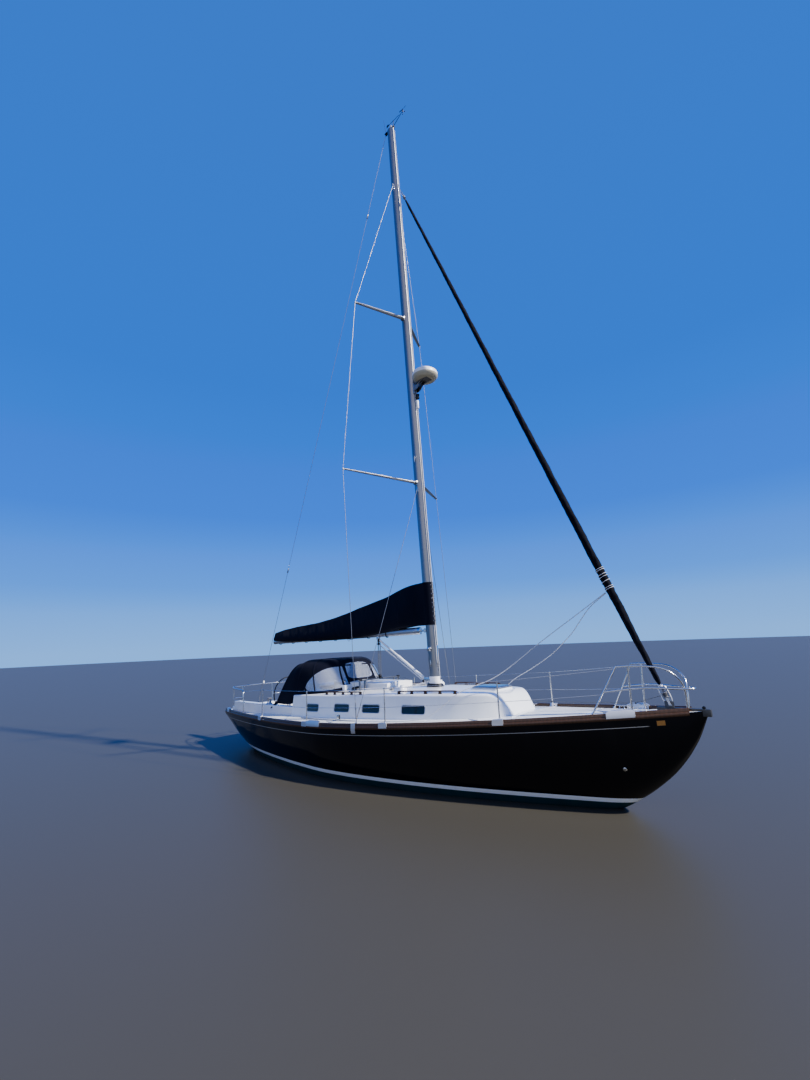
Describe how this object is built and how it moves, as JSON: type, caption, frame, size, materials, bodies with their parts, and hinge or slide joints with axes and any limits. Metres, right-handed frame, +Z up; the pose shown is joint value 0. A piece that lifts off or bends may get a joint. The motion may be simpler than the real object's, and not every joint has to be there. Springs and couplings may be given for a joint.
{
  "type": "sailing yacht",
  "caption": "Cruising sloop afloat with a dark decked hull, fin keel, spade rudder, swept-spreader rig, rolled headsail, covered mainsail on its boom and a cloth dodger.",
  "frame": {"origin": "on the centreline at the waterline, halfway along the deck", "axes": "+X to the bow, +Y to port, +Z up"},
  "size_m": [11.54, 3.5518, 19.2011],
  "materials": {
    "hull": "polished dark topside paint",
    "gelcoat": "white moulded gelcoat",
    "teak": "oiled teak",
    "antifouling": "dull dark teal bottom paint",
    "stainless": "polished stainless steel",
    "spar": "satin anodised",
    "canvas": "dark blue woven acrylic canvas",
    "bronze": "cast bronze",
    "smoked": "smoked acrylic",
    "fittings": "black cast fittings",
    "engine": "red painted casting",
    "radar": "white radome"
  },
  "bodies": {
    "yacht": {"backstay": "stainless", "bow_pulpit": "stainless", "cap_shroud_port": "stainless", "cap_shroud_starboard": "stainless", "coachroof": "gelcoat", "cockpit": "gelcoat", "deck": "gelcoat", "dodger": "canvas", "dodger_frame": "stainless", "engine": "engine", "forestay": "stainless", "furled_genoa": "canvas", "furler_drum": "stainless", "gooseneck": "stainless", "hull": "hull", "keel": "antifouling", "lifelines_port": "stainless", "lifelines_starboard": "stainless", "lower_shroud_port": "stainless", "lower_shroud_starboard": "stainless", "mast": "spar", "mast_step": "fittings", "masthead_unit": "fittings", "radar_dome": "radar", "sail_cover_collar": "canvas", "sea_hood": "gelcoat", "shaft_strut": "bronze", "spreader_lower_port": "spar", "spreader_lower_starboard": "spar", "spreader_upper_port": "spar", "spreader_upper_starboard": "spar", "steering_pedestal": "gelcoat", "stemhead_fitting": "stainless", "stern_pushpit": "stainless", "toe_rail_port": "teak", "toe_rail_starboard": "teak", "washboards": "teak", "winch_port": "stainless", "winch_starboard": "stainless"},
    "boom": {"boom": "spar", "vang": "spar", "sail_cover": "canvas"},
    "rudder": {"rudder": "antifouling"},
    "steering_wheel": {"steering_wheel": "stainless"},
    "propeller": {"propeller": "bronze", "propeller_shaft": "stainless"},
    "companionway_hatch": {"companionway_hatch": "smoked"},
    "forward_hatch": {"forward_hatch": "smoked"},
    "locker_lid_port": {"locker_lid_port": "gelcoat"},
    "locker_lid_starboard": {"locker_lid_starboard": "gelcoat"},
    "wind_vane": {"wind_vane": "fittings"}
  },
  "joints": [
    {"name": "boom_swing", "type": "hinge", "parent": "yacht", "child": "boom", "pos_m": [0.815, 0, 2.76], "axis": [-0.039, 0, 0.9992], "range_deg": [-60, 60]},
    {"name": "rudder_turn", "type": "hinge", "parent": "yacht", "child": "rudder", "pos_m": [-4.23, 0, 0], "axis": [0, 0, 1], "range_deg": [-35, 35]},
    {"name": "wheel_turn", "type": "hinge", "parent": "yacht", "child": "steering_wheel", "pos_m": [-4.12, 0, 1.29], "axis": [1, 0, 0], "range_deg": [-280, 280]},
    {"name": "propeller_spin", "type": "hinge", "parent": "yacht", "child": "propeller", "pos_m": [-3.6, 0, -0.488], "axis": [0.9726, 0, 0.2325], "continuous": true},
    {"name": "hatch_slide", "type": "slide", "parent": "yacht", "child": "companionway_hatch", "axis": [1, 0, 0], "range_m": [0, 0.6]},
    {"name": "fore_hatch_hinge", "type": "hinge", "parent": "yacht", "child": "forward_hatch", "pos_m": [2.64, 0, 1.672], "axis": [0, 1, 0], "range_deg": [0, 100]},
    {"name": "locker_port_hinge", "type": "hinge", "parent": "yacht", "child": "locker_lid_port", "pos_m": [-3.3, 0.82, 0.884], "axis": [-1, 0, 0], "range_deg": [0, 80]},
    {"name": "locker_starboard_hinge", "type": "hinge", "parent": "yacht", "child": "locker_lid_starboard", "pos_m": [-3.3, -0.82, 0.884], "axis": [1, 0, 0], "range_deg": [0, 80]},
    {"name": "vane_spin", "type": "hinge", "parent": "yacht", "child": "wind_vane", "pos_m": [0.5382, 0, 16.83], "axis": [0, 0, 1], "continuous": true}
  ],
  "couplings": [
    {"joint": "wheel_turn", "follows": "rudder_turn", "ratio": 7.7}
  ]
}
